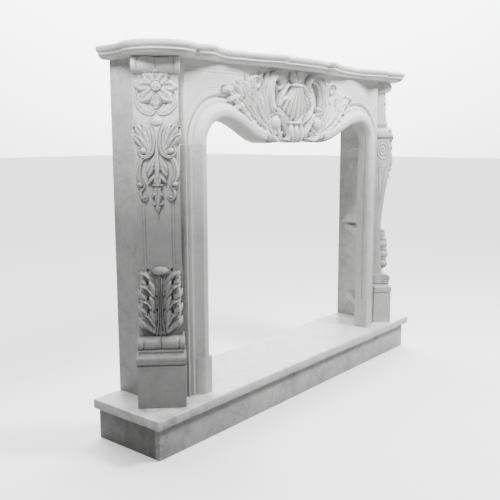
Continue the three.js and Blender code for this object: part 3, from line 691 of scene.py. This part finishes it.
for side, name in ((-1, "left"), (1, "right")):
    rings = []
    for i, z in enumerate(rows):
        edges = []
        for edge, column in ((-1, 0), (1, columns - 1)):
            start = -front[i, column]
            depth = start + (leg_depth - start) * side_steps
            edges.append((depth, edge * (half_width[i] + side_relief(z, depth))))
        (left_back, left_along), (right_back, right_along) = edges
        along = np.concatenate([left_along[::-1], leg_across[i, 1:-1], right_along])
        back = np.concatenate([left_back[::-1], -front[i, 1:-1], right_back])
        x, y = canted(along, back)
        # the inner back corner is cut to sit round the end of the jamb
        x = np.where((x < notch_x) & (y > notch_y), notch_x, x)
        rings.append(np.column_stack([side * x, y, np.full(len(x), slab_top + z)]))
    console = ring_solid(f"console_leg_carved_{name}", rings, carved, 50)
    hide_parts(f"{name}_console_leg")
    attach(console, "root")

# Jambs. Moulded marble uprights: reveal, quirk, roll, a sloping fillet and a shallow hollow beside
# the flat, with a plain foot block carved on the same stone.
opening_half = 505
jamb_top = 948
jamb_face, jamb_back = 72, 113
roll_radius, roll_back = 25, 75
hollow_start, hollow_width, hollow_depth = 67, 16, 8
foot_front = 51
foot_levels = ((slab_top + joint, 0), (256, 0), (260, 0.6), (262, 2.4), (262.6, 5))
honed = marble("honed_marble", (0.85, 0.85, 0.84), cloud=0.12, vein=0.15, soil=0.22, scale=1.0, polish=0.34,
               dust=0.72)
# a place in the plan is a distance outwards from the opening's edge and one back from the slab's front
roll = [(roll_radius * (1 - math.cos(a)), roll_back - roll_radius * math.sin(a))
        for a in np.linspace(0, math.pi / 2, 12)]
hollow_curve = [(hollow_start + hollow_width * t, jamb_face + hollow_depth * math.sin(math.pi * t))
                for t in np.linspace(0, 1, 11)]
reveal_and_roll = [(0, jamb_back), (0, 82.5), (0.6, 81.5), (5, 79.2), (5, 78.8), (0.4, 76.2), *roll,
                   (29, 49.8), (34, 50), (35.3, 50.4), (36.5, 51.4)]
moulding = [*reveal_and_roll, (56, 71), (57.5, 71.9), (60, jamb_face), (66.4, jamb_face), *hollow_curve[1:-1],
            (83.6, jamb_face), (86.4, jamb_face), (87, 72.6), (87, jamb_back)]
foot = [(-0.5, 112), (-0.5, 52.2), (0.8, 51.2), (37, foot_front), (38, 51.3), (57.6, 71.2),
        (58, jamb_face), (58, 112)]
levels = np.linspace(slab_top + joint, jamb_top - joint, 7)
for side, name in ((-1, "left"), (1, "right")):
    uprights = [[(side * (opening_half + n), y, z) for n, y in moulding] for z in levels]
    jamb = ring_solid(f"jamb_moulding_{name}", uprights, honed, 30)
    block = []
    for z, inset in foot_levels:
        block.append([(side * (opening_half + min(n, 58 - inset * 0.4)), max(y, foot_front + inset), z)
                      for n, y in foot])
    foot_block = ring_solid(f"jamb_foot_{name}", block, honed, 30)
    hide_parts(f"{name}_jamb")
    for piece in (jamb, foot_block):
        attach(piece, "root")

# Frieze. One carved slab: the arched opening with its mouldings returned along it, sunk panel
# lines, and a cartouche of shell, scrolls and leaf sprays, a little left of the opening's middle.
frieze_half = 592
corner_radius = 74
# the middle of the cartouche and the level of the opening's edge under it
middle = -28.0
lip = 950
fall_start, flat_half = 425, 170
scallop_rise, scallop_width = 13, 150
frieze_bottom, frieze_top = jamb_top + joint, shelf_bottom - joint
# the frieze gets strong painted shade in the hollows of its carving
frieze_marble = marble("frieze_marble", (0.86, 0.86, 0.85), 0.04, cloud=0.08, vein=0.05, soil=0.06, scale=1.1,
                       polish=0.4, dust=0.3, hollow=0.85)


def opening_curve(count):
    """The opening's edge from the left springing to the right, before the scallops are cut."""
    halves = []
    for s in (-1, 1):
        fall_end = flat_half + s * middle
        half = [(opening_half, frieze_bottom)]
        half += [(opening_half - corner_radius * (1 - math.cos(a)), lip + corner_radius * math.sin(a))
                 for a in np.linspace(0, math.pi / 2, 60)]
        for t in np.linspace(0.004, 1, 160):
            fall = (1 + math.cos(math.pi * t)) / 2
            half.append((fall_start + (fall_end - fall_start) * t, lip + corner_radius * fall))
        half += [(x, lip) for x in np.linspace(fall_end - 5, s * middle, 60)]
        halves.append(np.array(half) * [s, 1])
    whole = np.vstack([halves[0], halves[1][::-1][1:]])
    run = np.concatenate([[0], np.cumsum(np.linalg.norm(np.diff(whole, axis=0), axis=1))])
    at = np.linspace(0, run[-1], count)
    return np.column_stack([np.interp(at, run, whole[:, 0]), np.interp(at, run, whole[:, 1])])


count = 761
curve = opening_curve(count)
tangent = np.gradient(curve, axis=0)
tangent /= np.linalg.norm(tangent, axis=1, keepdims=True)
normal = np.column_stack([-tangent[:, 1], tangent[:, 0]])
normal[0], normal[-1] = (-1, 0), (1, 0)
from_middle = curve[:, 0] - middle
scallops = scallop_rise * (1 - np.abs(np.cos(math.pi * from_middle / scallop_width)))
curve[:, 1] += scallops * (np.abs(from_middle) < scallop_width)

# the slab's outer edge, met row by row: up each end for the corner share of the points, then level
corner_share = 0.19
share = np.linspace(0, 1, count)
near_end = np.minimum(share, 1 - share)
outer = np.column_stack([
    np.where(share < 0.5, -1, 1) * frieze_half * np.clip((0.5 - near_end) / (0.5 - corner_share), 0, 1),
    frieze_bottom + (frieze_top - frieze_bottom) * np.clip(near_end / corner_share, 0, 1),
])
edge_rows = reveal_and_roll + [(36.5 + 19.5 * t, 51.4 + 19.6 * t) for t in (0.2, 0.4, 0.6, 0.8, 1)]
edge_rows += [(57.5, 71.9), (60, jamb_face), (63, jamb_face), (66.4, jamb_face), *hollow_curve[1:-1],
              (83.6, jamb_face), (86, jamb_face)]
offsets = np.array([n for n, y in edge_rows])
far_rows = 74
reveal_rows = 5
near_part = curve[None] + offsets[:, None, None] * normal[None]
blend = np.linspace(0, 1, far_rows + 1)[1:, None, None]
far_part = near_part[-1:] * (1 - blend) + outer[None] * blend
places = np.concatenate([near_part, far_part])
ground_y = np.array([y for n, y in edge_rows] + [float(jamb_face)] * far_rows)[:, None] * np.ones((1, count))
frieze = Relief(places[..., 0], places[..., 1])


def spray(shape, knots, **options):
    """The same stroke of the cartouche on both sides of its middle, heights from the lip."""
    for s in (-1, 1):
        shape([(middle + s * u, lip + v, *rest) for u, v, *rest in knots], **options)


# sunk lines of the frieze panel
for rise in (0, 10):
    frieze.incise([(-598, 1182 - rise), (-300, 1182 - rise), (0, 1182 - rise), (300, 1182 - rise),
                   (598, 1182 - rise)], depth=1.6, count=80)
for s in (-1, 1):
    frieze.incise([(s * 577, 1172), (s * 577, 1120), (s * 577, 1060)], depth=2.0)
    for gap in (0, 7):
        frieze.incise([(s * (586 - gap), 1040), (s * (572 - gap), 1068 - gap), (s * 540, 1098 - gap),
                       (s * 507, 1115 - gap), (s * 474, 1124 - gap), (s * 425, 1127 - gap),
                       (s * 360, 1122 - gap)], depth=1.6)

# leaf sprays: broad hollowed leaves that fan out from beside the balls, the lowest with curled teeth
for u, v, du, dv in ((384, 172, 10, -4), (350, 148, 17, -9), (322, 122, 18, -13), (290, 94, 18, -15),
                     (256, 68, 17, -15), (222, 44, 15, -13), (190, 26, 10, -9)):
    spray(frieze.leaf, [(u - 30, v + 4, 11, 14), (u - 10, v + 2, 13, 17),
                        (u + du * 0.5, v + dv * 0.5, 10, 14), (u + du, v + dv, 4, 8)], flutes=0, cut=0.45)
spray(frieze.leaf, [(158, 36, 15, 16), (236, 70, 25, 21), (296, 120, 23, 21), (340, 156, 16, 16),
                    (384, 178, 6, 10)], flutes=2, gouge=0.42, cut=0.7)
spray(frieze.leaf, [(300, 158, 9, 15), (316, 176, 10, 16), (334, 186, 7, 13), (346, 184, 3, 8)], flutes=0)
spray(frieze.leaf, [(160, 48, 15, 19), (217, 90, 24, 23), (270, 146, 20, 22), (300, 186, 12, 17),
                    (318, 200, 5, 12)], flutes=2, gouge=0.42, cut=0.7)
spray(frieze.leaf, [(262, 168, 9, 17), (280, 190, 10, 18), (298, 202, 6, 14), (306, 198, 3, 9)], flutes=0)
spray(frieze.leaf, [(160, 60, 14, 19), (198, 110, 22, 23), (236, 158, 20, 22), (262, 200, 13, 18),
                    (274, 222, 5, 12)], flutes=2, gouge=0.42, cut=0.7)
spray(frieze.leaf, [(160, 76, 13, 18), (184, 122, 19, 21), (199, 168, 18, 20), (202, 210, 12, 16),
                    (196, 238, 5, 10)], flutes=2, gouge=0.4, cut=0.7)
spray(frieze.leaf, [(176, 180, 8, 15), (176, 206, 11, 17), (166, 226, 9, 15), (156, 240, 4, 9)], flutes=0)
for s in (-1, 1):
    frieze.hollow(middle + s * 254, lip + 142, 13, 26, 8)
    frieze.hollow(middle + s * 209, lip + 150, 10, 28, 7)
    frieze.dome(middle + s * 232, lip + 201, 21, 19, 21, base=13)
    frieze.hollow(middle + s * 230, lip + 202, 15, 14, 12)
spray(frieze.band, [(236, 184, 4, 17), (255, 192, 5, 20), (257, 212, 5, 21), (238, 223, 5, 21),
                    (214, 217, 5, 20), (202, 204, 4, 17)], lines=0)

# scrolls: broad reeded bands that arch over the shell and curl in at both ends
spray(frieze.band, [(104, 190, 6, 15), (84, 196, 8, 20), (80, 216, 10, 23), (99, 234, 13, 25),
                    (138, 226, 16, 26), (162, 186, 17, 27), (164, 145, 16, 27), (152, 114, 12, 25),
                    (138, 104, 7, 22)], lines=3, gouge=0.26)
spray(frieze.leaf, [(178, 52, 10, 17), (172, 34, 13, 21), (156, 20, 12, 20), (140, 12, 6, 15)], flutes=0,
      cut=0.5)
spray(frieze.leaf, [(150, 40, 9, 18), (140, 24, 13, 21), (122, 12, 12, 20), (104, 6, 6, 15)], flutes=0,
      cut=0.5)
spray(frieze.band, [(158, 100, 6, 17), (166, 74, 8, 20), (158, 48, 9, 22), (132, 36, 9, 22), (108, 44, 7, 20),
                    (100, 56, 4, 17)], lines=1, gouge=0.3)
spray(frieze.band, [(146, 98, 6, 19), (120, 100, 8, 23), (97, 89, 9, 25), (76, 62, 10, 25), (57, 40, 9.5, 24),
                    (52, 20, 9.5, 24), (70, 7, 9, 23), (94, 12, 8.5, 22), (101, 28, 7, 21), (88, 38, 5, 19)],
      lines=1, gouge=0.3)
for s in (-1, 1):
    frieze.dome(middle + s * 142, lip + 122, 10, 10, 27, base=12)
    frieze.dome(middle + s * 128, lip + 70, 26, 27, 29, base=10)
    frieze.hollow(middle + s * 104, lip + 160, 9, 24, 13)
    frieze.hollow(middle + s * 73, lip + 27, 8, 8, 12)
    frieze.hollow(middle + s * 96, lip + 212, 9, 9, 10)
spray(frieze.leaf, [(104, 118, 6, 14), (88, 104, 12, 19), (70, 88, 10, 18), (56, 74, 4, 12)], flutes=1)

# shell and drop in the middle
for k in (-4, 4, -3, 3, -2, 2, -1, 1, 0):
    x = abs(k)
    s = -1 if k < 0 else 1
    frieze.leaf([(middle + s * x * 5, lip + 199, 4, 22),
                 (middle + s * (x * 13), lip + 172 - x * 2, 6.5, 27 - x),
                 (middle + s * x * 21, lip + 138 + x * 3, 10, 28 - 1.5 * x),
                 (middle + s * x * 23, lip + 104 + x * 8, 9.5, 25 - 2 * x),
                 (middle + s * x * 22, lip + 78 + x * 13, 4, 17 - 1.5 * x)], flutes=1, gouge=0.3)
for s in (-1, 1):
    frieze.leaf([(middle + s * 46, lip + 205, 7, 17), (middle + s * 66, lip + 190, 10, 19),
                 (middle + s * 86, lip + 168, 9, 17), (middle + s * 92, lip + 148, 4, 12)], flutes=1)
for k in (-1, 1, 0):
    frieze.leaf([(middle + k * 28, lip + 66, 8, 15), (middle + k * 32, lip + 44, 13, 24),
                 (middle + k * 29, lip + 20, 12, 23), (middle + k * 22, lip + 3, 6, 15)],
                flutes=1, gouge=0.16)
frieze.dome(middle, lip + 72, 50, 6, 22, base=12)
for s in (-1, 1):
    frieze.leaf([(middle + s * 9, lip + 212, 9, 20), (middle + s * 17, lip + 228, 14, 24),
                 (middle + s * 17, lip + 250, 11, 17)], flutes=1, gouge=0.14)
frieze.dome(middle, lip + 205, 36, 8, 27, base=14)

# the mouldings die into the ground on either side of the cartouche's drop
sunk_face = jamb_face + 0.5
fade_start, fade_length = 166, 16
beside = np.clip((np.abs(from_middle) - fade_start) / fade_length, 0, 1)
ground_y[reveal_rows:] = sunk_face + (ground_y[reveal_rows:] - sunk_face) * beside

# the carving tapers off under the shelf, and the back and the reveal have none
taper_height = 4.0
taper = np.clip((frieze_top - places[..., 1]) / taper_height, 0, 1) ** 0.5
height = frieze.height
height[:reveal_rows] = 0
front_y = np.where(height > 0.01, np.minimum(ground_y, jamb_face - height * taper), ground_y - height)
front_points = np.stack([places[..., 0], front_y, places[..., 1]], axis=-1)
back_points = np.stack([outer[:, 0], np.full(count, float(jamb_back)), outer[:, 1]], axis=-1)[None]
rings = np.concatenate([front_points, back_points]).transpose(1, 0, 2)
arch = ring_solid("frieze_carved_slab", rings, frieze_marble, 50)
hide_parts("frieze")
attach(arch, "root")

# Mantel shelf. One serpentine marble slab with bowed ends, a moulded edge of cove, bead, groove
# and bullnose, and a flat soffit behind it.
bow_x, bow_y, bow_radius = 655, 117, 115
wave_start, wave_end = 588, 150


def shelf_side(s):
    """The plan of one side of the shelf, from the wall round the bowed end to the middle."""
    points = [(735, wall), (735.4, 270), (737, 245), (740.6, 220), (746, 196), (747, 182)]
    points += [(bow_x + bow_radius * math.cos(a), bow_y + bow_radius * math.sin(a))
               for a in np.radians(np.linspace(28, -118, 25))]
    end = wave_end + s * middle
    wave = [(0, 27), (0.078, 8), (0.156, 7), (0.288, 33), (0.437, 50), (0.58, 40), (0.71, 34), (0.859, 16),
            (1, -7.5)]
    points += [tuple(p) for p in spline([(wave_start + (end - wave_start) * t, y) for t, y in wave], 60)]
    points += [(end - 20, 9), (end - 44, 7), (end - 70, 4.5), (end - 110, 1.8), (s * middle, 0.6)]
    return [(s * x, y) for x, y in points]


shelf_plan = shelf_side(-1) + shelf_side(1)[::-1][1:]
shelf_profile = [(-17, 0), (-14.5, 0.8), (-11, 2.3), (-8, 4.2), (-5.6, 6.8), (-4.3, 10), (-1.6, 10.4),
                 (0.6, 11.4), (1.6, 13.4), (0.8, 15.4), (-1.2, 16.4), (-2.2, 17.3), (-0.4, 18.6), (2.2, 19.9),
                 (5, 22.2), (7.1, 25.4), (8, 29), (7.9, 32), (7, 35), (5.2, 37.3), (3.2, 38.5), (1, 39)]
shelf_hubs = [(x, wall - 10) for x in (-640, 0, 640)]
shelf = ring_solid("shelf_serpentine_slab", offset_rings(shelf_plan, shelf_profile, shelf_bottom), honed, 30,
                   shelf_hubs)
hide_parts("mantel_shelf")
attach(shelf, "root")

# Corner braces. Rough sawn marble offcuts glued behind each leg against the side panel, seen
# through the opening.
brace_thick = 32
brace_gap = 5
brace_ease = 1.0
brace_outer = panel_inner - joint
brace_inner = brace_outer - brace_thick
brace_front = mitre + brace_outer + brace_gap
sawn = marble("sawn_marble", (0.76, 0.76, 0.74), 0.15, cloud=0.2, vein=0.2, soil=0.35, scale=1.5, polish=0.65,
              dust=0.3)
# an outline's places are back from the leg and up from the top of the slab
offcuts = {
    "top": [(0, 743), (66, 743), (65, 760), (63, 774), (40, 783), (22, 782), (0, 783)],
    "middle": [(0, 446), (90, 446), (86, 456), (45, 503), (0, 553)],
    "strut": [(0, 372), (36, 394), (69, 413), (75, 431), (40, 431), (0, 408)],
    "foot": [(0, 49), (30, 68), (63, 90), (51, 117), (26, 101), (0, 85)],
}
for side, name in ((-1, "left"), (1, "right")):
    for part, outline in offcuts.items():
        offcut = prism(f"offcut_{part}_{name}", outline,
                       lambda a, b, c, s=side: (s * c, brace_front + a, slab_top + b),
                       brace_inner, brace_outer, brace_ease, sawn)
        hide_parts(f"{name}_brace_{part}")
        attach(offcut, "root")

# Floor. A plain pale matt studio floor that isn't part of the mantel. It fills the view and throws
# no light back on the stone.
floor_half = 30
floor_corners = ((-1, -1), (1, -1), (1, 1), (-1, 1))
floor_mesh = bpy.data.meshes.new("studio_floor")
floor_mesh.from_pydata([(x * floor_half, y * floor_half, 0) for x, y in floor_corners], [], [(0, 1, 2, 3)])
floor_material = bpy.data.materials.new("studio_floor")
floor_material.use_nodes = True
floor_shader = floor_material.node_tree.nodes["Principled BSDF"]
floor_shader.inputs["Base Color"].default_value = (0.96, 0.96, 0.96, 1)
floor_shader.inputs["Roughness"].default_value = 0.9
floor_mesh.materials.append(floor_material)
floor = bpy.data.objects.new("studio_floor", floor_mesh)
bpy.context.collection.objects.link(floor)
floor.visible_diffuse = False

# Light. A white studio sky, bright high behind the mantel on the right and dim in front and on the
# left, a soft key lamp high in front on the right, and a small one high on the left for the panel.
world = bpy.data.worlds.new("studio")
bpy.context.scene.world = world
world.use_nodes = True
sky = world.node_tree
direction = sky.nodes.new("ShaderNodeTexCoord")
towards_brightest = sky.nodes.new("ShaderNodeVectorMath")
towards_brightest.operation = "DOT_PRODUCT"
towards_brightest.inputs[1].default_value = (0.62, 0.50, 0.60)
sky.links.new(direction.outputs["Generated"], towards_brightest.inputs[0])
shade = sky.nodes.new("ShaderNodeMapRange")
shade.interpolation_type = "SMOOTHSTEP"
shade.inputs["From Min"].default_value = 0.5
shade.inputs["From Max"].default_value = 0.95
shade.inputs["To Min"].default_value = 0.22
shade.inputs["To Max"].default_value = 8.0
sky.links.new(towards_brightest.outputs["Value"], shade.inputs["Value"])
sky.links.new(shade.outputs["Result"], sky.nodes["Background"].inputs["Strength"])
sky.nodes["Background"].inputs["Color"].default_value = (1, 1, 1, 1)


def area_light(name, place, target, size, power):
    """A square soft lamp turned towards a target."""
    lamp = bpy.data.lights.new(name, "AREA")
    lamp.energy = power
    lamp.shape = "SQUARE"
    lamp.size = size
    thing = bpy.data.objects.new(name, lamp)
    thing.location = place
    thing.rotation_euler = (Vector(target) - Vector(place)).to_track_quat("-Z", "Y").to_euler()
    bpy.context.collection.objects.link(thing)


area_light("key", (0.9, -1.6, 2.7), (0, 0, 0.9), 0.7, 165)
area_light("top_left", (-1.5, -0.55, 1.85), (-0.7, 0, 1.1), 0.4, 30)

# Camera. Close, a little under the shelf's height, off the left front corner, with a slight roll.
# Its place and lens come from the straight edges of the slab, risers, plinth and shelf in the photo.
camera_data = bpy.data.cameras.new("camera")
camera_data.lens = 50.385
camera_data.sensor_width = 36.0
camera = bpy.data.objects.new("camera", camera_data)
azimuth = math.radians(39.334)
pitch = math.radians(9.129)
roll_angle = math.radians(-0.127)
forward = Vector((math.cos(azimuth) * math.cos(pitch), math.sin(azimuth) * math.cos(pitch), -math.sin(pitch)))
camera.rotation_euler = forward.to_track_quat("-Z", "Y").to_euler()
camera.location = (-2.1461, -1.4564 + wall_shift, 0.9696)
camera.rotation_euler.rotate_axis("Z", roll_angle)
bpy.context.collection.objects.link(camera)
bpy.context.scene.camera = camera
